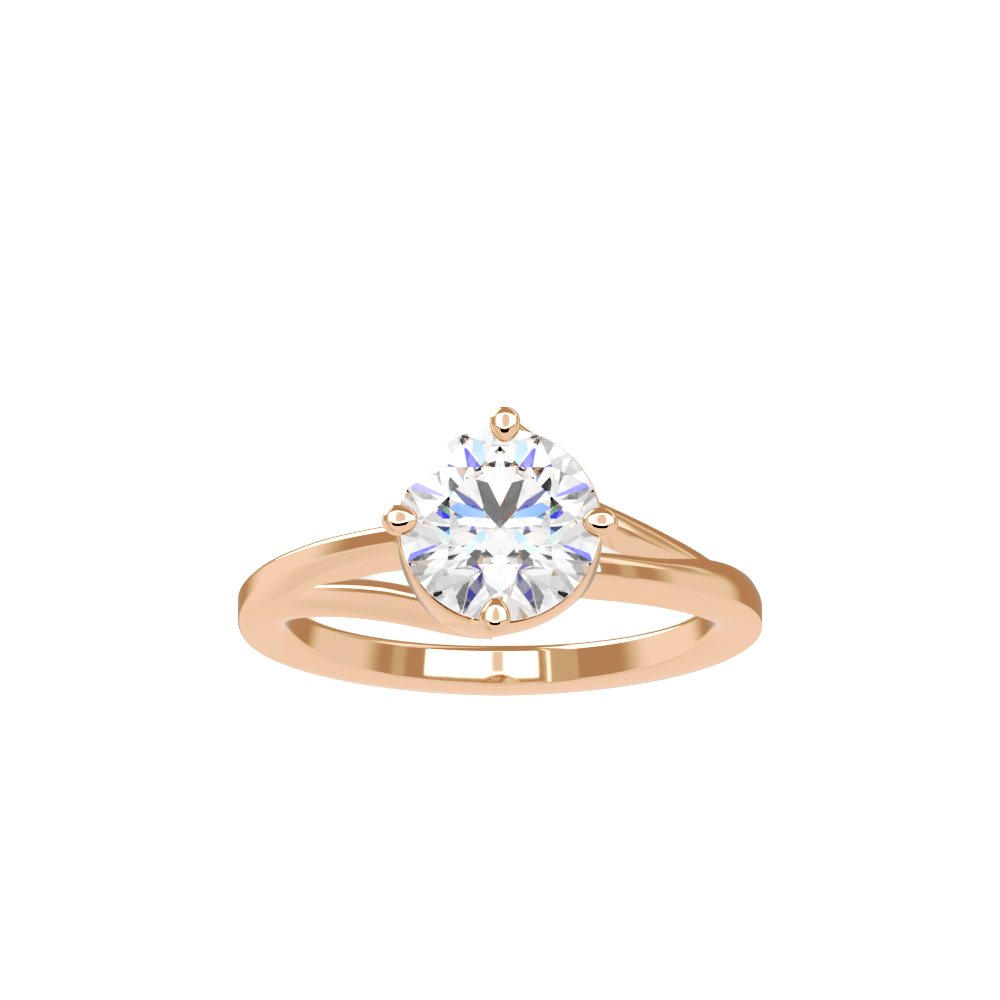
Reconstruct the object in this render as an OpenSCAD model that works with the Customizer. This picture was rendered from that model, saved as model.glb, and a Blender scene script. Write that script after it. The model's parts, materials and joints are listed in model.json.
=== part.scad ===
// Bypass solitaire ring: a round brilliant in a four-claw cup, carried by a shank
// whose two ends each split into an upper and a lower arm that pass each other.
//
// The ring is drawn upright first: X runs across the finger, Y along the finger
// towards the back of the hand, and Z up through the stone, with the centre of the
// finger hole at the origin. Then lay_down() puts it on its side, as it rests.

/* [Finger hole] */
// Diameter of the finger hole
bore_d = 16.5; // [15:0.1:18]
/* [Shank] */
// Radius of the outer face of the shank
band_r = 10.26; // [10:0.02:10.5]
// Width of the shank at the back of the finger
band_w = 1.72; // [1.5:0.02:2]
/* [Stone] */
// Diameter of the stone at its girdle
stone_d = 7.5; // [7.2:0.1:7.6]
// Height of the middle of the girdle over the centre of the finger hole
girdle_z = 13.12; // [13:0.02:13.3]
// Width of the table as a share of the diameter
table_share = 0.54; // [0.52:0.01:0.60]
// Angle of the main crown facets
crown_angle = 34.5; // [32:0.5:36]
// Angle of the main pavilion facets
pavilion_angle = 40.8; // [40:0.2:42]
// Thickness of the girdle at the corners of the facets
girdle_t = 0.20; // [0.15:0.01:0.25]
/* [Claws] */
// Radius of the round end of a claw
bead_r = 0.57; // [0.5:0.01:0.62]
// Distance from the middle of the stone to the middle of a claw's end
claw_reach = 3.84; // [3.8:0.01:3.95]
// Gap left between the stone and the metal
stone_gap = 0.04; // [0.03:0.01:0.06]

/* [Hidden] */

rose_gold = [0.90, 0.71, 0.60];
diamond = [0.86, 0.92, 0.97, 0.6];

bore_r = bore_d / 2;
stone_r = stone_d / 2;
edge_r = 0.12;
comfort = 0.28;
bore_spare = 0.4;
sweep_step = 4;
cup_step = 6;

// The upper arm, from where it ends under the stone round to the back of the finger.
// Angles are taken from the stone, and the slot side faces the lower arm.
ANGLE = 0;
UPPER_OUT_TOP = 1;
UPPER_SLOT_TOP = 2;
UPPER_OUT_R = 3;
UPPER_SLOT_R = 4;
UPPER_OUT_FOOT = 5;
UPPER_CREASE = 6;
UPPER_CREASE_R = 7;
UPPER_SLOT_FOOT = 8;
// angle, outer top edge, slot top edge, radius at each, outer foot, crease, its radius, slot foot
upper_arm_rows = [
    [10, 0.95, 0.30, 9.70, 9.40, 1.30, 0.12, 8.90, -0.22],
    [22, 1.11, 0.41, 9.86, 9.50, 1.45, 0.16, 8.86, -0.27],
    [36, 1.03, 0.25, 10.00, 9.86, 1.38, 0.06, 8.90, -0.26],
    [44, 0.97, 0.19, 10.08, 9.96, 1.31, -0.16, 9.02, -0.34],
    [52, 0.90, 0.14, 10.14, 10.04, 1.24, -0.46, 9.22, -0.62],
    [62, 0.83, 0.03, 10.20, 10.13, 1.14, -0.68, 9.42, -0.90],
    [70, 0.76, -0.13, 10.23, 10.17, 1.04, -0.74, 9.56, -0.95],
    [80, 0.73, -0.30, 10.25, 10.22, 0.88, -0.78, 9.70, -0.86],
    [92, 0.72, -0.48, 10.26, 10.26, 0.79, -0.78, 9.80, -0.80],
    [110, 0.72, -0.68, 10.26, 10.26, 0.77, -0.76, 9.80, -0.77],
    [135, 0.74, -0.74, 10.26, 10.26, 0.79, -0.79, 9.40, -0.79],
    [180, band_w / 2 - 0.04, 0.04 - band_w / 2, 10.26, 10.26, band_w / 2, -band_w / 2, 9.30, -band_w / 2]
];

// The lower arm, from under its claw back to where it grows out of the shank.
LOWER_SLOT_TOP = 1;
LOWER_OUT_TOP = 2;
LOWER_SLOT_R = 3;
LOWER_OUT_R = 4;
LOWER_SLOT_FOOT = 5;
LOWER_OUT_FOOT = 6;
// angle, slot top edge, outer top edge, radius at each, slot foot, outer foot
lower_arm_rows = [
    [2, -2.50, -3.02, 10.20, 10.10, -2.20, -3.22],
    [8, -2.28, -2.94, 9.80, 9.75, -1.86, -3.14],
    [15, -1.92, -2.70, 9.40, 9.45, -1.42, -2.91],
    [21, -1.58, -2.42, 9.14, 9.32, -1.06, -2.65],
    [28, -1.24, -2.06, 9.10, 9.30, -0.75, -2.36],
    [33, -1.06, -1.82, 9.12, 9.28, -0.58, -2.16],
    [39, -0.86, -1.60, 9.14, 9.28, -0.36, -1.94],
    [48, -0.61, -1.28, 9.26, 9.38, -0.05, -1.64],
    [56, -0.42, -1.04, 9.42, 9.50, 0.20, -1.41],
    [66, -0.24, -0.82, 9.62, 9.64, 0.26, -1.15],
    [76, -0.12, -0.62, 9.70, 9.68, 0.20, -0.72],
    [84, -0.05, -0.40, 9.60, 9.60, 0.15, -0.50]
];

// The wall of the cup by the angle round the stone, from east through north to west.
// The other half is the same, turned half round.
CUP_OUT_R = 1;
CUP_FOOT_Z = 2;
// angle, outer radius, height of the lower edge
cup_rows = [
    [0, 3.84, 10.35],
    [20, 3.86, 10.85],
    [45, 3.87, 10.60],
    [68, 3.88, 10.50],
    [82, 3.88, 10.85],
    [94, 3.87, 11.40],
    [105, 3.86, 11.60],
    [130, 3.85, 11.58],
    [145, 3.85, 11.15],
    [162, 3.84, 10.60],
    [180, 3.84, 10.35]
];
cup_in_r = 3.46;
cup_top_z = 12.82;

// The claws that rise from the upper arms and those from the lower arms
CLAW_TURN = 0;
CLAW_Z = 1;
CLAW_FOOT = 2;
CLAW_SIDE = 3;
// turn of its end round the stone, height of its end, foot on the arm, second foot beside it
upper_claw = [179.3, 13.54, [-2.45, 0.60, 9.05], [-3.10, 0.45, 9.35]];
lower_claw = [267.2, 13.70, [-0.42, -2.62, 9.45], [-2.00, -3.20, 11.20]];
claw_foot_r = 0.40;
claw_side_r = 0.30;
claw_neck_r = 0.47;
point_reach = 3.14;
point_z = 13.90;
point_r = 0.11;

// Half of the table, and the heights of the stone's corners.
table_r = table_share * stone_r;
girdle_top = girdle_z + girdle_t / 2;
girdle_bottom = girdle_z - girdle_t / 2;
table_z = girdle_top + (stone_r - table_r) * tan(crown_angle);
culet_z = girdle_bottom - stone_r * tan(pavilion_angle);
facets = 8;

// The ring lies on one claw and on the outer edge of the shank, so it leans by this angle.
low_bead_y = -claw_reach * sin(lower_claw[CLAW_TURN]);
claw_to_edge = [low_bead_y - (band_w / 2 - edge_r), lower_claw[CLAW_Z] + band_r - edge_r];
lean = atan2(claw_to_edge[0], claw_to_edge[1]) + asin((bead_r - edge_r) / norm(claw_to_edge));
rest_drop = (band_w / 2 - edge_r) * cos(lean) + (band_r - edge_r) * sin(lean) + edge_r;
front_y = low_bead_y * sin(lean) + lower_claw[CLAW_Z] * cos(lean) + bead_r;
back_y = (band_r - edge_r) * cos(lean) + (band_w / 2 - edge_r) * sin(lean) + edge_r;

function row_below(rows, a) = max([for (k = [0:len(rows) - 2]) if (rows[k][ANGLE] <= a) k]);

function slope(rows, i, column) =
    let (before = rows[max(i - 1, 0)], after = rows[min(i + 1, len(rows) - 1)])
    (after[column] - before[column]) / (after[ANGLE] - before[ANGLE]);

// The value of a column at an angle, on a smooth curve through the rows
function at(rows, a, column) =
    let (
        i = row_below(rows, a),
        step = rows[i + 1][ANGLE] - rows[i][ANGLE],
        t = (a - rows[i][ANGLE]) / step,
        rise = rows[i + 1][column] - rows[i][column],
        lift = (slope(rows, i, column) * step - rise) * (1 - t),
        drop = (slope(rows, i + 1, column) * step - rise) * t
    )
    rows[i][column] + rise * t + t * (1 - t) * (lift - drop);

// A point of a section, given along the finger and out from the finger's centre
function on_ring(a, p) = [-p[1] * sin(a), p[0], p[1] * cos(a)];

function turned(p) = [-p[0], -p[1], p[2]];

// An inner edge eased for the finger: from metal that the finger hole takes away to the foot of a side
function eased(foot, side) = [
    [foot - side * comfort, bore_r - bore_spare],
    [foot - side * comfort, bore_r + 0.02],
    [foot - side * comfort * 0.35, bore_r + comfort * 0.32],
    [foot, bore_r + comfort]
];

// An outer corner with its edge taken off
function corner(n, r, side) = [
    [n, r - edge_r],
    [n - side * edge_r * 0.3, r - edge_r * 0.3],
    [n - side * edge_r, r]
];

function reversed(list) = [for (k = [len(list) - 1:-1:0]) list[k]];

function upper_section(a) =
    let (
        out_foot = at(upper_arm_rows, a, UPPER_OUT_FOOT),
        out_top = at(upper_arm_rows, a, UPPER_OUT_TOP),
        out_r = at(upper_arm_rows, a, UPPER_OUT_R),
        slot_foot = at(upper_arm_rows, a, UPPER_SLOT_FOOT)
    )
    concat(
        eased(out_foot, 1),
        [[(out_foot + out_top) / 2, (bore_r + comfort + out_r - edge_r) / 2]],
        corner(out_top, out_r, 1),
        reversed(corner(at(upper_arm_rows, a, UPPER_SLOT_TOP), at(upper_arm_rows, a, UPPER_SLOT_R), -1)),
        [[at(upper_arm_rows, a, UPPER_CREASE), at(upper_arm_rows, a, UPPER_CREASE_R)]],
        reversed(eased(slot_foot, -1))
    );

function lower_section(a) =
    let (
        slot_foot = at(lower_arm_rows, a, LOWER_SLOT_FOOT),
        out_foot = at(lower_arm_rows, a, LOWER_OUT_FOOT)
    )
    concat(
        eased(slot_foot, 1),
        corner(at(lower_arm_rows, a, LOWER_SLOT_TOP), at(lower_arm_rows, a, LOWER_SLOT_R), 1),
        reversed(corner(at(lower_arm_rows, a, LOWER_OUT_TOP), at(lower_arm_rows, a, LOWER_OUT_R), -1)),
        reversed(eased(out_foot, -1))
    );

// A solid through a row of sections that have as many points each
module swept(sections, closed = false) {
    size = len(sections[0]);
    count = len(sections);
    last = closed ? count - 1 : count - 2;
    sides = [
        for (i = [0:last], k = [0:size - 1])
            let (
                here = i * size + k,
                along = ((i + 1) % count) * size + k,
                up = i * size + (k + 1) % size,
                across = ((i + 1) % count) * size + (k + 1) % size
            )
            each [[here, up, across], [here, across, along]]
    ];
    caps = closed ? [] : [
        [for (k = [size - 1:-1:0]) k],
        [for (k = [0:size - 1]) (count - 1) * size + k]
    ];
    polyhedron(points = [for (s = sections) each s], faces = concat(sides, caps), convexity = 8);
}

// The shank with both upper arms: one strip from claw to claw round the finger
module shank() {
    left = [for (a = [10:sweep_step:178]) [for (p = upper_section(a)) on_ring(a, p)]];
    back = [[for (p = upper_section(180)) on_ring(180, p)]];
    right = [
        for (section = reversed(left))
            reversed([for (p = section) turned(p)])
    ];
    swept(concat(left, back, right));
}

module lower_arm() {
    swept([for (a = [2.4:sweep_step - 1:83.5]) [for (p = lower_section(a)) on_ring(a, p)]]);
}

// The cup: a low wall round the stone, thicker where it runs up to two of the claws
module cup() {
    swept(
        [
            for (turn = [0, 180], a = [0:cup_step:180 - cup_step])
                let (
                    out = at(cup_rows, a, CUP_OUT_R),
                    foot = at(cup_rows, a, CUP_FOOT_Z),
                    profile = [
                        [cup_in_r, foot],
                        [cup_in_r, cup_top_z - 0.5],
                        [cup_in_r + 0.16, cup_top_z],
                        [out - edge_r, cup_top_z],
                        [out, cup_top_z - edge_r],
                        [out, foot + edge_r],
                        [out - edge_r, foot]
                    ]
                )
                [for (p = reversed(profile)) [p[0] * cos(a + turn), p[0] * sin(a + turn), p[1]]]
        ],
        closed = true
    );
}

// A straight round bar between two points, with its own radius at each
module bar(from, to, from_r, to_r) {
    run = to - from;
    translate(from)
        rotate([0, acos(run[2] / norm(run)), atan2(run[1], run[0])])
            cylinder(h = norm(run), r1 = from_r, r2 = to_r, $fn = 20);
}

// The round end of a claw: a ball drawn out to a blunt point, along Z
module claw_end(reach) {
    open = acos((bead_r - point_r) / reach);
    rotate_extrude($fn = 28)
        polygon(concat(
            [for (k = [0:9]) let (a = -90 + k * (180 - open) / 9) bead_r * [cos(a), sin(a)]],
            [for (k = [0:3]) let (a = 90 - open + k * open / 3) [point_r * cos(a), reach + point_r * sin(a)]]
        ));
}

// A claw: two posts from an arm up to the rim of the cup, and an end laid over the stone
module claw(row) {
    out = [cos(row[CLAW_TURN]), sin(row[CLAW_TURN]), 0];
    bead = claw_reach * out + [0, 0, row[CLAW_Z]];
    tip = point_reach * out + [0, 0, point_z];
    bar(row[CLAW_FOOT], bead, claw_foot_r, claw_neck_r);
    bar(row[CLAW_SIDE], bead, claw_side_r, claw_neck_r - 0.01);
    translate(bead)
        rotate([0, acos((tip - bead)[2] / norm(tip - bead)), row[CLAW_TURN] + 180])
            claw_end(norm(tip - bead));
}

// The room that the stone takes, with the gap all round
module stone_room() {
    grown = stone_r + stone_gap;
    rotate_extrude($fn = 64)
        polygon([
            [0, culet_z - stone_gap * 1.5],
            [grown, girdle_bottom - stone_gap / 2],
            [grown, girdle_top + stone_gap / 2],
            [table_r + stone_gap, table_z + stone_gap],
            [0, table_z + stone_gap]
        ]);
}

module finger_hole() {
    rotate([90, 0, 0])
        cylinder(h = 20, r = bore_r, center = true, $fn = 180);
}

module ring_mount() {
    color(rose_gold)
        difference() {
            // No side is resized: this joins the swept metal into one closed surface
            resize([0, 0, 0])
                difference() {
                    union() {
                        shank();
                        cup();
                        for (half = [0, 180])
                            rotate([0, 0, half]) {
                                lower_arm();
                                claw(upper_claw);
                                claw(lower_claw);
                            }
                    }
                    stone_room();
                }
            finger_hole();
        }
}

// A point of the stone, by its turn round the axis in facets, its radius and its height
function gem_point(turn, r, z) = [r * cos(turn * 360 / facets), r * sin(turn * 360 / facets), z];

// How far the edge of the girdle dips between two facet corners, for a facet that rises by rise over run
function scallop(j, rise, run) =
    let (quarter = 90 / facets)
    rise / run * stone_r * (cos((j % 3) * 360 / facets / 6 - quarter) / cos(quarter) - 1);

// A round brilliant: table, stars, kites and upper halves, then the girdle, lower halves and mains
module brilliant() {
    half = cos(180 / facets);
    star_r = (table_r * half + stone_r) / 2;
    star_z = girdle_top + (stone_r - star_r * half) * tan(crown_angle);
    lower_r = stone_r * 0.21;
    lower_z = culet_z + lower_r * half * tan(pavilion_angle);
    rim = 6 * facets;
    star = facets;
    top = star + facets;
    base = top + rim;
    lower = base + rim;
    culet = lower + facets;
    points = concat(
        [for (k = [0:facets - 1]) gem_point(k, table_r, table_z)],
        [for (k = [0:facets - 1]) gem_point(k + 0.5, star_r, star_z)],
        [for (j = [0:rim - 1])
            gem_point(j / 6, stone_r, girdle_top - scallop(j, star_z - girdle_top, stone_r - star_r))],
        [for (j = [0:rim - 1])
            gem_point(j / 6, stone_r, girdle_bottom + scallop(j, girdle_bottom - lower_z, stone_r - lower_r))],
        [for (k = [0:facets - 1]) gem_point(k + 0.5, lower_r, lower_z)],
        [[0, 0, culet_z]]
    );
    crown = [
        for (k = [0:facets - 1])
            let (next = (k + 1) % facets, last = (k + facets - 1) % facets, g = 6 * k)
            each [
                [k, next, star + k],
                [k, star + k, top + g, star + last],
                [star + k, for (j = [3:-1:0]) top + g + j],
                [star + k, for (j = [6:-1:3]) top + (g + j) % rim]
            ]
    ];
    pavilion = [
        for (k = [0:facets - 1])
            let (last = (k + facets - 1) % facets, g = 6 * k)
            each [
                [culet, lower + last, base + g, lower + k],
                [lower + k, for (j = [0:3]) base + g + j],
                [lower + k, for (j = [3:6]) base + (g + j) % rim]
            ]
    ];
    girdle = [for (j = [0:rim - 1]) [top + j, top + (j + 1) % rim, base + (j + 1) % rim, base + j]];
    polyhedron(
        points = points,
        faces = concat([[for (k = [facets - 1:-1:0]) k]], crown, girdle, pavilion),
        convexity = 2
    );
}

module centre_stone() {
    color(diamond)
        rotate([0, 0, 180 / facets])
            brilliant();
}

// Lays the upright ring on its side, on one claw and the edge of the shank
module lay_down() {
    translate([0, (front_y - back_y) / 2, rest_drop])
        rotate([lean - 90, 0, 180])
            children();
}

lay_down() ring_mount();
lay_down() centre_stone();
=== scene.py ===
import json
import math

import bmesh
import bpy
from mathutils import Matrix, Vector


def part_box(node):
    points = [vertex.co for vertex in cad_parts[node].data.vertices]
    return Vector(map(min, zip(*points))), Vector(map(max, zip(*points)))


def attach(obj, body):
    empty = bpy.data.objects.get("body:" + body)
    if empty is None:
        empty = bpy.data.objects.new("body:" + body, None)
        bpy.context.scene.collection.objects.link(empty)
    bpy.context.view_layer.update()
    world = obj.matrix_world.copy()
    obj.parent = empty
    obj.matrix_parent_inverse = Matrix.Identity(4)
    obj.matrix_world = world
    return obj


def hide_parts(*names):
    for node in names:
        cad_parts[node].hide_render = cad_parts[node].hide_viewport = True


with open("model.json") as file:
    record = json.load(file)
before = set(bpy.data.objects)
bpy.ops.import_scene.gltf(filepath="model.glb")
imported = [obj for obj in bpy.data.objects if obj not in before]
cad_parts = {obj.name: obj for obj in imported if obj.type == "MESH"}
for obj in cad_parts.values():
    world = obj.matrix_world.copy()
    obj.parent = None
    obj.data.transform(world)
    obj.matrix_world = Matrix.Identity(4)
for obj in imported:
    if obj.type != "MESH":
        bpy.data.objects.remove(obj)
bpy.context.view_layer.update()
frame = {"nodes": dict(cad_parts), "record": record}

# How the ring lies.
# Pieces are shaped upright and in millimetres: X across the finger, Y along it, Z up
# through the stone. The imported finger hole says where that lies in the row's frame.
MM_PER_M = 1000
HALF_TURN = Matrix.Rotation(math.pi, 4, "Z")

mounts = {mount["name"]: mount for mount in frame["record"]["mounts"]}
finger_hole = mounts["finger_hole"]
FINGER_R = finger_hole["dims"]["r_mm"]
lean = math.atan2(finger_hole["axis"][1], finger_hole["axis"][2])
turn_down = HALF_TURN @ Matrix.Rotation(lean - math.pi / 2, 4, "X")
to_metres = Matrix.Scale(1 / MM_PER_M, 4)
lay_down = Matrix.Translation(finger_hole["pos_m"]) @ turn_down @ to_metres

# The camera.
# It looks down on the stone from 300 mm, tilted from the stone's axis towards the lower
# side of the ring, and has the photograph's way up, which is half a turn to the floor's.
CAMERA_AWAY = 300
CAMERA_TILT = math.radians(14.6)
CAMERA_PITCH = math.radians(15.443)
CAMERA_LENS = 276.2
CAMERA_SENSOR = 36

scene = bpy.context.scene
camera = bpy.data.objects.new("camera", bpy.data.cameras.new("camera"))
scene.collection.objects.link(camera)
stand = CAMERA_AWAY * Vector((0, -math.sin(CAMERA_TILT), math.cos(CAMERA_TILT)))
camera.matrix_world = (
    Matrix.Translation(lay_down @ stand) @ turn_down @ Matrix.Rotation(CAMERA_PITCH, 4, "X")
)
camera.data.sensor_width = CAMERA_SENSOR
camera.data.lens = CAMERA_LENS
camera.data.clip_start = 0.01
camera.data.clip_end = 10
scene.camera = camera

# The shank with its two upper arms.
# One cast strip of rose gold runs from the west claw round the finger to the east claw.
# Its ends widen, lean towards the slot and pass over the lower arms.
# The far side is the one at the top of the picture, the near side the one at its bottom.
BAND_R = 10.26
BAND_HALF_W = 0.86
FLANK_MIDDLE_R = 9.3
EDGE_R = 0.12
FAR_EDGE_R = 0.26
FAR_COMFORT = 0.33
CREASE_R = 0.03
EASE_BACK = 0.1
EASE_SIDE = 0.5
EASE_POWER = 6
EASE_STEPS = 6
SWEEP_STEP = 2
BACK = 180

# angle from the stone in degrees, outer top edge, slot top edge, radius of each,
# outer foot, crease of the slot face, its radius, slot foot
UPPER_ARM_ROWS = [
    (10, 0.95, 0.30, 10.04, 9.98, 1.30, 0.00, 9.40, -0.22),
    (22, 1.06, 0.28, 10.10, 10.10, 1.45, -0.04, 9.70, -0.27),
    (36, 1.00, 0.20, 10.12, 10.12, 1.38, -0.12, 9.74, -0.26),
    (44, 0.96, 0.15, 10.15, 10.15, 1.31, -0.30, 9.78, -0.36),
    (52, 0.89, 0.12, 10.18, 10.18, 1.24, -0.56, 9.84, -0.64),
    (62, 0.83, 0.02, 10.21, 10.20, 1.14, -0.74, 9.90, -0.90),
    (70, 0.76, -0.14, 10.23, 10.22, 1.04, -0.78, 9.95, -0.95),
    (80, 0.73, -0.30, 10.25, 10.25, 0.88, -0.79, 10.00, -0.86),
    (92, 0.72, -0.48, BAND_R, BAND_R, 0.79, -0.78, 10.05, -0.80),
    (110, 0.72, -0.68, BAND_R, BAND_R, 0.77, -0.76, 10.00, -0.77),
    (135, 0.74, -0.74, BAND_R, BAND_R, 0.79, -0.79, 9.60, -0.79),
    (BACK, 0.82, -0.82, BAND_R, BAND_R, BAND_HALF_W, -BAND_HALF_W, 9.30, -BAND_HALF_W),
]


def row_at(rows, angle):
    """The columns of a table at an angle, on a smooth curve through its rows."""
    last = len(rows) - 1
    here = max(row for row in range(last) if rows[row][0] <= angle)
    step = rows[here + 1][0] - rows[here][0]
    part = (angle - rows[here][0]) / step

    def slope(row, column):
        before, after = rows[max(row - 1, 0)], rows[min(row + 1, last)]
        return (after[column] - before[column]) / (after[0] - before[0])

    values = []
    for column in range(1, len(rows[0])):
        rise = rows[here + 1][column] - rows[here][column]
        lift = (slope(here, column) * step - rise) * (1 - part)
        drop = (slope(here + 1, column) * step - rise) * part
        values.append(rows[here][column] + rise * part + part * (1 - part) * (lift - drop))
    return values


def on_ring(angle, along_finger, radius):
    """A point by its angle from the stone, its place along the finger and its radius."""
    turn = math.radians(angle)
    return Vector((-radius * math.sin(turn), along_finger, radius * math.cos(turn)))


def strip(sections, closed=False):
    """A skin over a row of sections, and the long edges that start from each corner."""

    def following(row):
        return row[1:] + (row[:1] if closed else [])

    bm = bmesh.new()
    loops = [[bm.verts.new(point) for point in section] for section in sections]
    rings = [[bm.edges.new(pair) for pair in zip(loop, loop[1:] + loop[:1])] for loop in loops]
    for ring, after in zip(rings, following(rings)):
        bmesh.ops.bridge_loops(bm, edges=ring + after)
    if not closed:
        for ring in (rings[0], rings[-1]):
            bmesh.ops.edgeloop_fill(bm, edges=ring)
    lines = [
        [bm.edges.get((loop[corner], after[corner])) for loop, after in zip(loops, following(loops))]
        for corner in range(len(loops[0]))
    ]
    return bm, lines


def round_edges(bm, edges, radius, segments):
    """Rounds long edges as the file and the polishing wheel do."""
    bmesh.ops.bevel(
        bm,
        geom=edges,
        offset=radius,
        offset_type="OFFSET",
        segments=segments,
        profile=0.5,
        affect="EDGES",
        clamp_overlap=True,
        material=-1,
    )


polish = bpy.data.node_groups.new("polish", "ShaderNodeTree")
for socket in ("grain", "smoothest", "roughest"):
    polish.interface.new_socket(socket, in_out="INPUT", socket_type="NodeSocketFloat")
polish.interface.new_socket("roughness", in_out="OUTPUT", socket_type="NodeSocketFloat")
polish_in = polish.nodes.new("NodeGroupInput")
polish_out = polish.nodes.new("NodeGroupOutput")
polish_where = polish.nodes.new("ShaderNodeTexCoord")
wear = polish.nodes.new("ShaderNodeTexNoise")
wear.inputs["Detail"].default_value = 3
wear_range = polish.nodes.new("ShaderNodeMapRange")
polish.links.new(polish_where.outputs["Object"], wear.inputs["Vector"])
polish.links.new(polish_in.outputs["grain"], wear.inputs["Scale"])
polish.links.new(wear.outputs["Fac"], wear_range.inputs["Value"])
polish.links.new(polish_in.outputs["smoothest"], wear_range.inputs["To Min"])
polish.links.new(polish_in.outputs["roughest"], wear_range.inputs["To Max"])
polish.links.new(wear_range.outputs[0], polish_out.inputs["roughness"])


def polished(material, grain, smoothest, roughest):
    """Lets the material's polish vary a little over its surface."""
    node = material.node_tree.nodes.new("ShaderNodeGroup")
    node.node_tree = polish
    node.inputs["grain"].default_value = grain
    node.inputs["smoothest"].default_value = smoothest
    node.inputs["roughest"].default_value = roughest
    shader = material.node_tree.nodes["Principled BSDF"]
    material.node_tree.links.new(node.outputs["roughness"], shader.inputs["Roughness"])


ROSE_GOLD = (0.93, 0.63, 0.46, 1)
ROSE_GOLD_AT_A_SLANT = (1, 0.87, 0.78, 1)
BUFFING_FINENESS = 2500
BUFFING_STRENGTH = 0.05
BUFFING_DEPTH = 0.00001


def rose_gold_finish():
    """Mirror-polished rose gold with the buffing wheel's faint marks."""
    material = bpy.data.materials.new("rose_gold")
    material.use_nodes = True
    nodes, links = material.node_tree.nodes, material.node_tree.links
    shader = nodes["Principled BSDF"]
    shader.inputs["Metallic"].default_value = 1
    shader.inputs["Base Color"].default_value = ROSE_GOLD
    shader.inputs["Specular Tint"].default_value = ROSE_GOLD_AT_A_SLANT
    polished(material, grain=700, smoothest=0.045, roughest=0.075)
    where = nodes.new("ShaderNodeTexCoord")
    marks = nodes.new("ShaderNodeTexNoise")
    marks.inputs["Scale"].default_value = BUFFING_FINENESS
    bump = nodes.new("ShaderNodeBump")
    bump.inputs["Strength"].default_value = BUFFING_STRENGTH
    bump.inputs["Distance"].default_value = BUFFING_DEPTH
    links.new(where.outputs["Object"], marks.inputs["Vector"])
    links.new(marks.outputs["Fac"], bump.inputs["Height"])
    links.new(bump.outputs["Normal"], shader.inputs["Normal"])
    return material


rose_gold = rose_gold_finish()


def scene_object(bm, name):
    """Puts a finished bmesh into the scene."""
    mesh = bpy.data.meshes.new(name)
    bm.to_mesh(mesh)
    bm.free()
    shape = bpy.data.objects.new(name, mesh)
    scene.collection.objects.link(shape)
    return shape


# Faces nearer in size than this, in square metres, share a corner's shading evenly
SAME_FACE_AREA = 5e-8


def laid_piece(bm, name):
    """A gold piece in the ring's resting place, with flats that stay flat in a mirror."""
    bmesh.ops.recalc_face_normals(bm, faces=bm.faces)
    bm.transform(lay_down)
    piece = scene_object(bm, name)
    piece.data.shade_smooth()
    piece.data.materials.append(rose_gold)
    even = piece.modifiers.new("even_normals", "WEIGHTED_NORMAL")
    even.weight = 100
    even.thresh = SAME_FACE_AREA
    # Polished gold mirrors the room and the stone here, and not the gold beside it
    piece.visible_glossy = False
    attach(piece, "root")
    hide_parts("ring_mount")


def upper_arm_section(angle):
    """Its corners, from the outer foot over the top to the slot's foot."""
    columns = row_at(UPPER_ARM_ROWS, angle)
    out_top, slot_top, out_r, slot_r, out_foot, crease, crease_r, slot_foot = columns
    part_up = (FLANK_MIDDLE_R - FINGER_R) / (out_r - FINGER_R)
    return [
        on_ring(angle, out_foot, FINGER_R),
        on_ring(angle, out_foot + (out_top - out_foot) * part_up, FLANK_MIDDLE_R),
        on_ring(angle, out_top, out_r),
        on_ring(angle, slot_top, slot_r),
        on_ring(angle, crease, crease_r),
        on_ring(angle, slot_foot, FINGER_R),
    ]


def ease(angle):
    """How much the near edge is rounded towards the finger: most at the ring's sides."""
    return EASE_BACK + (EASE_SIDE - EASE_BACK) * math.sin(math.radians(angle)) ** EASE_POWER


def eased(section, angle):
    """The section with its last corner rounded towards the finger."""
    foot = section[-1]
    out = Vector((foot.x, 0, foot.z)).normalized()
    radius = ease(angle)
    corners = []
    for step in range(EASE_STEPS + 1):
        turn = math.pi / 2 * step / EASE_STEPS
        rise = radius * (1 - math.sin(turn))
        inward = radius * (1 - math.cos(turn))
        corners.append(foot + out * rise + Vector((0, inward, 0)))
    return section[:-1] + corners


angles = range(UPPER_ARM_ROWS[0][0], BACK, SWEEP_STEP)
left = [upper_arm_section(angle) for angle in angles]
# The right half is the left one after half a turn, with its corners in the other order
right = [[HALF_TURN @ point for point in reversed(section)] for section in reversed(left)]
sections = left + [upper_arm_section(BACK)] + right
places = [*angles, BACK, *reversed(angles)]
bm, lines = strip([eased(section, angle) for section, angle in zip(sections, places)])
far_foot, far_crease, far_top, near_top, near_crease, *_ = lines
round_edges(bm, far_foot, FAR_COMFORT, segments=6)
round_edges(bm, far_top, FAR_EDGE_R, segments=6)
round_edges(bm, near_top, EDGE_R, segments=4)
round_edges(bm, far_crease + near_crease, CREASE_R, segments=1)
laid_piece(bm, "shank")

# The lower arms.
# Each grows out of the shank's flank, drops to the finger and sweeps under the cup to the
# next claw. A narrow flat runs along the slot, and the outer side is softly rounded.
SLOT_EDGE_R = 0.08
FLAT_DROP = 0.035
FLANK_START = math.radians(14)
FLANK_STEPS = 12
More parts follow.
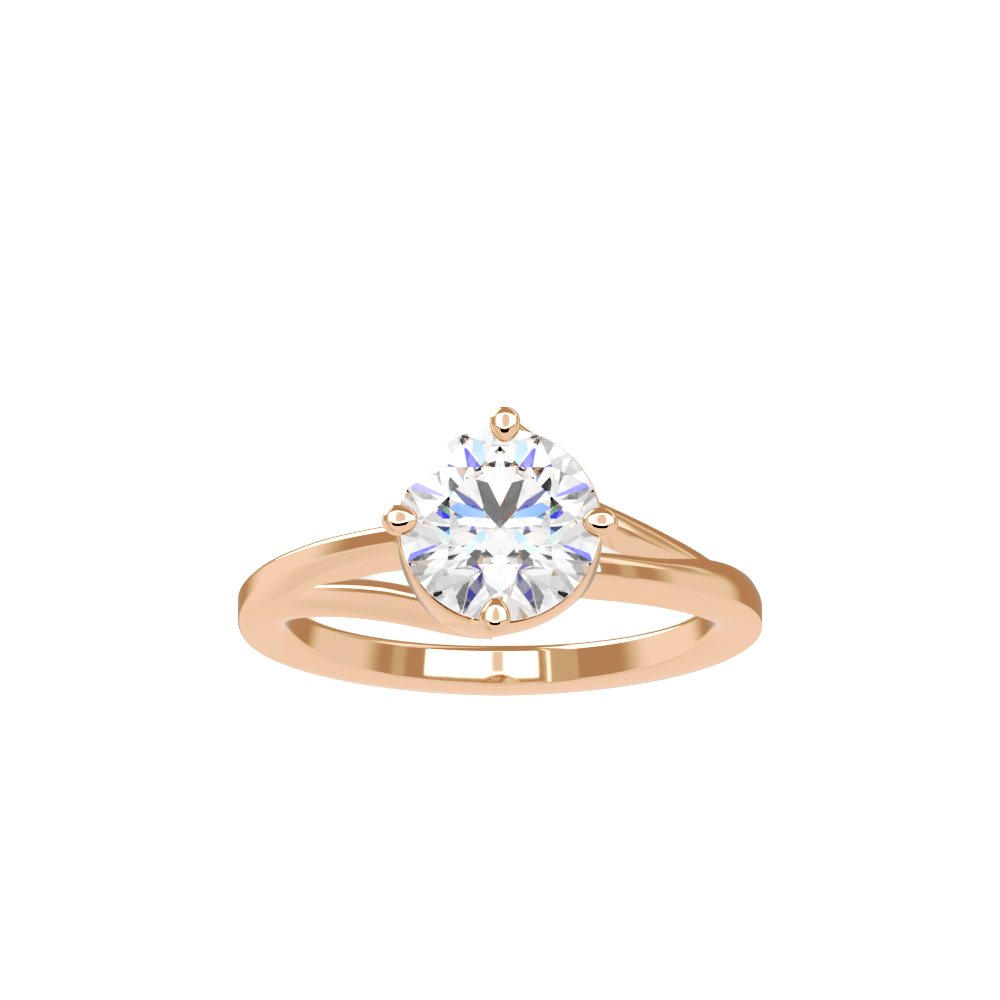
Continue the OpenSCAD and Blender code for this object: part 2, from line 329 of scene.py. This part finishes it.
# angle from the stone in degrees, slot top edge, ridge, radius of the ridge, slot foot,
# outer foot
LOWER_ARM_ROWS = [
    (2, -2.39, -2.59, 10.20, -2.20, -3.22),
    (8, -2.17, -2.37, 9.80, -1.86, -3.14),
    (15, -1.81, -2.01, 9.40, -1.42, -2.91),
    (21, -1.47, -1.67, 9.14, -1.06, -2.65),
    (28, -1.13, -1.33, 9.10, -0.72, -2.36),
    (33, -0.95, -1.15, 9.12, -0.52, -2.16),
    (39, -0.75, -0.95, 9.14, -0.31, -1.94),
    (48, -0.50, -0.70, 9.26, -0.05, -1.64),
    (56, -0.31, -0.51, 9.42, 0.20, -1.41),
    (66, -0.13, -0.33, 9.62, 0.26, -1.13),
    (76, -0.04, -0.22, 9.70, 0.20, -0.92),
    (84, 0.02, -0.14, 9.60, 0.15, -0.80),
]


def lower_arm_section(angle):
    """Its corners, from the slot's foot over the flat and the ridge to the outer foot."""
    slot_top, ridge, ridge_r, slot_foot, out_foot = row_at(LOWER_ARM_ROWS, angle)
    slot_edge = on_ring(angle, slot_top, ridge_r - FLAT_DROP)
    section = [on_ring(angle, slot_foot, FINGER_R), slot_edge]
    foot_r = FINGER_R + ease(angle)
    for step in range(FLANK_STEPS):
        turn = FLANK_START + (math.pi / 2 - FLANK_START) * step / FLANK_STEPS
        part = (math.sin(turn) - math.sin(FLANK_START)) / (1 - math.sin(FLANK_START))
        radius = foot_r + (ridge_r - foot_r) * math.cos(turn) / math.cos(FLANK_START)
        section.append(on_ring(angle, ridge + (out_foot - ridge) * part, radius))
    section.append(on_ring(angle, out_foot, FINGER_R))
    return eased(section, angle)


angles = range(LOWER_ARM_ROWS[0][0], LOWER_ARM_ROWS[-1][0] + 1, SWEEP_STEP)
for name, side_turn in (("lower_arm_left", Matrix.Identity(4)), ("lower_arm_right", HALF_TURN)):
    bm, lines = strip([lower_arm_section(angle) for angle in angles])
    slot_foot, slot_top, ridge, *_ = lines
    for edge in ridge:
        edge.smooth = False
    round_edges(bm, slot_top, SLOT_EDGE_R, segments=4)
    round_edges(bm, slot_foot, EDGE_R, segments=4)
    bm.transform(side_turn)
    laid_piece(bm, name)

# The cup.
# A low wall of gold stands round the stone just under its girdle, open below. Its lower
# edge follows the arms, so it is deepest where it runs on to them.
CUP_IN_R = 3.46
CUP_TOP = 12.82
CUP_CHAMFER = 0.16
CUP_CHAMFER_DROP = 0.5
CUP_SOFT_R = 0.05
CUP_STEP = 3
# angle round the stone from east in degrees, outer radius, height of the lower edge
CUP_ROWS = [
    (0, 3.84, 10.35),
    (20, 3.86, 10.85),
    (45, 3.87, 10.60),
    (68, 3.88, 10.50),
    (82, 3.88, 10.85),
    (94, 3.87, 11.40),
    (105, 3.86, 11.60),
    (130, 3.85, 11.58),
    (145, 3.85, 11.15),
    (162, 3.84, 10.60),
    (180, 3.84, 10.35),
]


def round_stone(angle, radius, height):
    """A point by its angle round the stone from east, its radius and its height."""
    turn = math.radians(angle)
    return Vector((radius * math.cos(turn), radius * math.sin(turn), height))


def cup_section(angle):
    """The wall's corners, from its inner foot over the top to its outer foot."""
    out_r, foot = row_at(CUP_ROWS, angle % 180)
    corners = (
        (CUP_IN_R, foot),
        (CUP_IN_R, CUP_TOP - CUP_CHAMFER_DROP),
        (CUP_IN_R + CUP_CHAMFER, CUP_TOP),
        (out_r, CUP_TOP),
        (out_r, foot),
    )
    return [round_stone(angle, r, z) for r, z in corners]


bm, lines = strip([cup_section(angle) for angle in range(0, 360, CUP_STEP)], closed=True)
in_foot, _, in_top, out_top, out_foot = lines
round_edges(bm, out_top + out_foot, EDGE_R, segments=4)
round_edges(bm, in_foot + in_top, CUP_SOFT_R, segments=2)
laid_piece(bm, "cup")

# The claws.
# Two posts rise from an arm along the cup to a flat domed tip drawn out over the stone.
# Filing melts posts, tip and cup wall into one smooth form with a seat for the stone.
TIP_R = 0.585
TIP_RISE = 0.38
TIP_SQUARE = 3.5
TIP_STEPS = 12
TIP_UNDER = 0.75
TIP_REACH = 3.84
TIP_LENGTH = 0.86
TIP_TAPER = 0.22
FOOT_R = 0.34
SIDE_R = 0.28
NECK_R = 0.36
NECK_DROP = 0.3
NECK_FLARE = 0.06
NECK_FLARE_DROP = 0.45
ROUND_STEPS = 64
# turn round the stone from east, height of the tip's widest level, feet of the two posts
CLAWS = {
    "west": (179.3, 13.50, (-2.45, 0.60, 9.05), (-3.10, 0.45, 9.35)),
    "south": (267.2, 13.66, (-0.42, -2.62, 9.45), (-2.00, -3.20, 11.20)),
}
OPPOSITE = {"west": "east", "south": "north"}
SECTOR_HALF = 24
SECTOR_CHAMFER = 0.2
WALL_BELOW = 0.03
SAME_POINT = 0.001
VOXEL = 0.035
FILE_STROKES = 12

stone_low, stone_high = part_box("centre_stone")
STONE_R = (stone_high.x - stone_low.x) / 2 * MM_PER_M
GIRDLE_Z = 13.12
GIRDLE_HALF = 0.1
TABLE_Z = 14.41
TABLE_SHARE = 0.54
CULET_Z = 9.78
SEAT_GAP = 0.03


def bar(bm, start, end, start_r, end_r):
    """A round post between two points."""
    run = end - start
    stand_along = run.to_track_quat("Z", "X").to_matrix().to_4x4()
    bmesh.ops.create_cone(
        bm,
        cap_ends=True,
        segments=32,
        radius1=start_r,
        radius2=end_r,
        depth=run.length,
        matrix=Matrix.Translation((start + end) / 2) @ stand_along,
    )


def add_shape(bm, other):
    """Adds a finished bmesh to another, with its faces pointing out."""
    bmesh.ops.remove_doubles(other, verts=other.verts, dist=SAME_POINT)
    bmesh.ops.recalc_face_normals(other, faces=other.faces)
    spare = bpy.data.meshes.new("spare")
    other.to_mesh(spare)
    other.free()
    bm.from_mesh(spare)
    bpy.data.meshes.remove(spare)


def turned_shape(outline):
    """A shape spun round Z from an outline of radii and heights."""
    shape = bmesh.new()
    verts = [shape.verts.new((r, 0, z)) for r, z in outline]
    edges = [shape.edges.new(pair) for pair in zip(verts, verts[1:])]
    bmesh.ops.spin(
        shape,
        geom=verts + edges,
        axis=(0, 0, 1),
        angle=math.tau,
        steps=ROUND_STEPS,
        use_merge=True,
    )
    bmesh.ops.remove_doubles(shape, verts=shape.verts, dist=SAME_POINT)
    bmesh.ops.recalc_face_normals(shape, faces=shape.faces)
    return shape


def claw_tip(bm, turn, level):
    """The tip: a flat dome, tapered below, and drawn out to a blunt point inwards."""
    outline = []
    for step in range(TIP_STEPS + 1):
        rise = math.radians(90 - 90 * step / TIP_STEPS)
        circle = (math.cos(rise), math.sin(rise))
        across, up = (max(part, 0) ** (2 / TIP_SQUARE) for part in circle)
        outline.append((TIP_R * across, TIP_RISE * up))
    outline += [(NECK_R + NECK_FLARE, -NECK_FLARE_DROP), (0, -TIP_UNDER)]
    tip = turned_shape(outline)
    for vert in tip.verts:
        inward = -vert.co.x
        if inward > 0:
            part = inward / TIP_R
            vert.co.y *= 1 - TIP_TAPER * part**3
            vert.co.x = -inward * TIP_LENGTH / TIP_R
    place = Matrix.Translation((TIP_REACH, 0, level))
    tip.transform(Matrix.Rotation(math.radians(turn), 4, "Z") @ place)
    add_shape(bm, tip)


def cup_sector(bm, turn):
    """The cup's wall near a claw, a hair inside the real one."""
    sections = []
    for angle in range(int(turn) - SECTOR_HALF, int(turn) + SECTOR_HALF + 1, CUP_STEP):
        out_r, foot = row_at(CUP_ROWS, angle % 180)
        corners = (
            (CUP_IN_R + WALL_BELOW, foot + WALL_BELOW),
            (CUP_IN_R + WALL_BELOW, CUP_TOP - CUP_CHAMFER_DROP),
            (CUP_IN_R + SECTOR_CHAMFER, CUP_TOP - WALL_BELOW),
            (out_r - EDGE_R, CUP_TOP - WALL_BELOW),
            (out_r - WALL_BELOW, CUP_TOP - EDGE_R),
            (out_r - WALL_BELOW, foot + EDGE_R),
            (out_r - EDGE_R, foot + WALL_BELOW),
        )
        sections.append([round_stone(angle, r, z) for r, z in corners])
    wall, _ = strip(sections)
    add_shape(bm, wall)


def melt(shape):
    """Turns shapes that overlap into one skin."""
    skin = shape.modifiers.new("melt", "REMESH")
    skin.mode = "VOXEL"
    skin.voxel_size = VOXEL


def filed(bm, seat):
    """The same form melted into one skin, cut out for the stone and smoothed."""
    rough = scene_object(bm, "rough")
    melt(rough)
    cut = rough.modifiers.new("cut", "BOOLEAN")
    cut.operation = "DIFFERENCE"
    cut.object = seat
    cut.solver = "EXACT"
    melt(rough)
    file_down = rough.modifiers.new("file_down", "SMOOTH")
    file_down.factor = 0.5
    file_down.iterations = FILE_STROKES
    seen = rough.evaluated_get(bpy.context.evaluated_depsgraph_get())
    smooth = bmesh.new()
    smooth.from_mesh(seen.to_mesh())
    seen.to_mesh_clear()
    bpy.data.objects.remove(rough)
    return smooth


seat_outline = [
    (0, CULET_Z - SEAT_GAP * 2),
    (STONE_R + SEAT_GAP, GIRDLE_Z - GIRDLE_HALF - SEAT_GAP),
    (STONE_R + SEAT_GAP, GIRDLE_Z + GIRDLE_HALF + SEAT_GAP),
    (STONE_R * TABLE_SHARE, TABLE_Z + SEAT_GAP),
    (0, TABLE_Z + SEAT_GAP),
]
seat = scene_object(turned_shape(seat_outline), "seat")
for name, (turn, level, foot, side_foot) in CLAWS.items():
    bm = bmesh.new()
    neck = TIP_REACH * round_stone(turn, 1, 0) + Vector((0, 0, level - NECK_DROP))
    bar(bm, Vector(foot), neck, FOOT_R, NECK_R)
    bar(bm, Vector(side_foot), neck, SIDE_R, NECK_R)
    claw_tip(bm, turn, level)
    cup_sector(bm, turn)
    smooth = filed(bm, seat)
    other = smooth.copy()
    other.transform(HALF_TURN)
    laid_piece(smooth, f"claw_{name}")
    laid_piece(other, f"claw_{OPPOSITE[name]}")
bpy.data.objects.remove(seat)

# The stone.
# A round brilliant of 7.5 mm, clear and colourless, held by the claws' seats. It keeps the
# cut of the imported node. Light is followed through many turns inside it.
DIAMOND_IOR = 2.417
STONE_BOUNCES = 24


def diamond_finish():
    """Clear diamond with a polish that varies by a trace."""
    material = bpy.data.materials.new("diamond")
    material.use_nodes = True
    shader = material.node_tree.nodes["Principled BSDF"]
    shader.inputs["Base Color"].default_value = (1, 1, 1, 1)
    shader.inputs["IOR"].default_value = DIAMOND_IOR
    shader.inputs["Transmission Weight"].default_value = 1
    polished(material, grain=400, smoothest=0, roughest=0.012)
    return material


stone = frame["nodes"]["centre_stone"]
stone.data.materials.clear()
stone.data.materials.append(diamond_finish())
scene.cycles.max_bounces = STONE_BOUNCES
scene.cycles.transmission_bounces = STONE_BOUNCES
scene.cycles.glossy_bounces = 8

# The floor.
# A plain white table, the same all over. It isn't mirrored in the gold or seen through the
# stone, where the cards and the tent stand for the whole room.
FLOOR_SIZE = 3
FLOOR_WHITE = 0.9

floor_mesh = bmesh.new()
bmesh.ops.create_grid(floor_mesh, x_segments=1, y_segments=1, size=FLOOR_SIZE)
floor = scene_object(floor_mesh, "floor")
white = bpy.data.materials.new("floor")
white.use_nodes = True
paint = white.node_tree.nodes["Principled BSDF"]
paint.inputs["Base Color"].default_value = (FLOOR_WHITE, FLOOR_WHITE, FLOOR_WHITE, 1)
paint.inputs["Roughness"].default_value = 1
floor.data.materials.append(white)
floor.visible_glossy = False
floor.visible_transmission = False

# The picture's tones.
# Plain colours with a curve that deepens the darks and leaves the light tones alone, so
# that the gold's shadows are deep and keep their warmth as in the photograph.
COMBINED_CURVE = 3
# light in, light out
TONES = ((0.1, 0.004), (0.16, 0.03), (0.22, 0.075), (0.3, 0.185), (0.42, 0.39), (0.6, 0.6))

view = scene.view_settings
view.view_transform = "Standard"
view.use_curve_mapping = True
for light_in, light_out in TONES:
    view.curve_mapping.curves[COMBINED_CURVE].points.new(light_in, light_out)
view.curve_mapping.update()

# The studio.
# White and grey cards hang round the ring, as jewels are lit. A card is placed by its angles
# in degrees seen from the ring: across the finger from the stone's axis to the right, and up
# along the finger, towards the top of the picture. A later card hangs before those above it.
ROOM_LIGHT = 0.5
CARD_COLUMNS = ("left", "right", "low", "high", "softness", "brightness")
# A card behind the ring is there twice, once on each side of the half turn
CARDS = [
    (-180, 180, -90, 5, 3, 0.88),
    (-125, -20, -64, -24, 8, 0.84),
    (-220, -140, -60, 4, 8, 0.92),
    (140, 220, -60, 4, 8, 0.92),
    (-139, -80, -12, 30, 12, 0.98),
    (-44, -24, -60, 50, 0.5, 0.62),
    (54, 62, -10, 50, 2, 0.62),
    (76, 125, -20, 30, 8, 0.86),
    (-135, -40, 30, 72, 1, 2.2),
    (45, 118, 32, 88, 4, 0.9),
    (58, 82, 32, 88, 4, 1.25),
    (88, 108, 32, 88, 6, 0.55),
    (160, 200, 10, 24, 3, 0.48),
    (-200, -160, 10, 24, 3, 0.48),
    (-180, 180, -91, -84, 2, 0.4),
    (-21, 42, 9, 29, 0.5, 2.6),
    (-28, -26, -20, 50, 0.3, 1.6),
    (-2, 4.5, 12, 24.5, 0.7, 0.84),
    (-10, 10, -1, 7.5, 0.7, 0.01),
]


def feed(tree, socket, value):
    """Gives a socket a plain value or the output of another node."""
    if isinstance(value, bpy.types.NodeSocket):
        tree.links.new(value, socket)
    else:
        socket.default_value = value


def maths(tree, operation, *values):
    """One sum on plain values or other nodes' outputs."""
    node = tree.nodes.new("ShaderNodeMath")
    node.operation = operation
    for socket, value in zip(node.inputs, values):
        feed(tree, socket, value)
    return node.outputs[0]


def ramp(tree, value, start, end, low, high):
    """Goes smoothly from low to high while the value goes from start to end."""
    node = tree.nodes.new("ShaderNodeMapRange")
    node.interpolation_type = "SMOOTHSTEP"
    sockets = ("Value", "From Min", "From Max", "To Min", "To Max")
    for socket, setting in zip(sockets, (value, start, end, low, high)):
        feed(tree, node.inputs[socket], setting)
    return node.outputs[0]


card = bpy.data.node_groups.new("card", "ShaderNodeTree")
for socket in ("across", "up", "behind", *CARD_COLUMNS):
    card.interface.new_socket(socket, in_out="INPUT", socket_type="NodeSocketFloat")
card.interface.new_socket("light", in_out="OUTPUT", socket_type="NodeSocketFloat")
given = card.nodes.new("NodeGroupInput").outputs
card_out = card.nodes.new("NodeGroupOutput")


def inside(angle, start, end):
    """1 between two edges and 0 outside them, soft at both."""
    edges = []
    for edge in (start, end):
        soft_start = maths(card, "SUBTRACT", edge, given["softness"])
        soft_end = maths(card, "ADD", edge, given["softness"])
        edges.append(ramp(card, angle, soft_start, soft_end, 0, 1))
    return maths(card, "SUBTRACT", *edges)


wide = inside(given["across"], given["left"], given["right"])
tall = inside(given["up"], given["low"], given["high"])
mask = maths(card, "MULTIPLY", wide, tall)
brighter = maths(card, "SUBTRACT", given["brightness"], given["behind"])
lit = maths(card, "MULTIPLY_ADD", brighter, mask, given["behind"])
card.links.new(lit, card_out.inputs["light"])

world = bpy.data.worlds.new("studio")
scene.world = world
world.use_nodes = True
world.cycles.sampling_method = "NONE"
tree = world.node_tree
seen_way = tree.nodes.new("ShaderNodeTexCoord").outputs["Generated"]


def along(axis):
    """How far the direction seen points along one of the upright ring's axes."""
    node = tree.nodes.new("ShaderNodeVectorMath")
    node.operation = "DOT_PRODUCT"
    node.inputs[1].default_value = turn_down.to_3x3() @ Vector(axis)
    tree.links.new(seen_way, node.inputs[0])
    return node.outputs["Value"]


across = maths(tree, "DEGREES", maths(tree, "ARCTAN2", along((1, 0, 0)), along((0, 0, 1))))
up = maths(tree, "DEGREES", maths(tree, "ARCSINE", along((0, 1, 0))))
light = ROOM_LIGHT
for settings in CARDS:
    node = tree.nodes.new("ShaderNodeGroup")
    node.node_tree = card
    feed(tree, node.inputs["across"], across)
    feed(tree, node.inputs["up"], up)
    feed(tree, node.inputs["behind"], light)
    for column, setting in zip(CARD_COLUMNS, settings):
        feed(tree, node.inputs[column], setting)
    light = node.outputs["light"]

# The tent.
# Through the stone the room is a white tent, dimmer far from the photograph's side and low
# down, with a dark opening on that side. The opening's rim turns blue before it turns white,
# as the stone's fire shows it.
TENT_TILT = 12
# the angles between which the light changes, the light before and the light after
TENT_FAR_SIDE = (44, 62, 1.15, 0.58)
TENT_LOW_SIDE = (-30, -8, 0.75, 1)
OPENING_LIGHT = 0.11
RIM_SOFT = 0.9
# the colour, the tilt of its opening's middle and the opening's radius, in degrees
OPENINGS = (("Red", 13.0, 17.0), ("Green", 13.0, 16.6), ("Blue", 14.6, 15.3))


def away_from(tilt):
    """The angle between the direction seen and one tilted from the stone's axis."""
    tilt = math.radians(tilt)
    towards = along((0, -math.sin(tilt), math.cos(tilt)))
    return maths(tree, "DEGREES", maths(tree, "ARCCOSINE", towards))


tent_sides = (
    ramp(tree, away_from(TENT_TILT), *TENT_FAR_SIDE),
    ramp(tree, up, *TENT_LOW_SIDE),
)
tent_light = maths(tree, "MULTIPLY", *tent_sides)
tent = tree.nodes.new("ShaderNodeCombineColor")
for channel, tilt, rim in OPENINGS:
    share = ramp(tree, away_from(tilt), rim - RIM_SOFT, rim + RIM_SOFT, OPENING_LIGHT, 1)
    tree.links.new(maths(tree, "MULTIPLY", share, tent_light), tent.inputs[channel])

# Straight to the camera the room is plain white
light_path = tree.nodes.new("ShaderNodeLightPath")
room = light
for seen_by, seen in (("Is Transmission Ray", tent.outputs[0]), ("Is Camera Ray", (1, 1, 1, 1))):
    choose = tree.nodes.new("ShaderNodeMixRGB")
    feed(tree, choose.inputs["Fac"], light_path.outputs[seen_by])
    feed(tree, choose.inputs["Color1"], room)
    feed(tree, choose.inputs["Color2"], seen)
    room = choose.outputs[0]
tree.links.new(room, tree.nodes["Background"].inputs["Color"])

# The lamp.
# One soft lamp behind the camera, in line with it, keeps the floor white. Like the floor it
# isn't mirrored in the gold or seen through the stone.
LAMP_AWAY = 1.0
LAMP_SIZE = 0.12
LAMP_POWER = 36

lamp = bpy.data.objects.new("lamp", bpy.data.lights.new("lamp", "AREA"))
lamp.data.shape = "DISK"
lamp.data.size = LAMP_SIZE
lamp.data.energy = LAMP_POWER
to_camera = camera.matrix_world.translation.normalized()
facing = to_camera.to_track_quat("Z", "Y").to_matrix().to_4x4()
lamp.matrix_world = Matrix.Translation(to_camera * LAMP_AWAY) @ facing
lamp.visible_glossy = False
lamp.visible_transmission = False
scene.collection.objects.link(lamp)
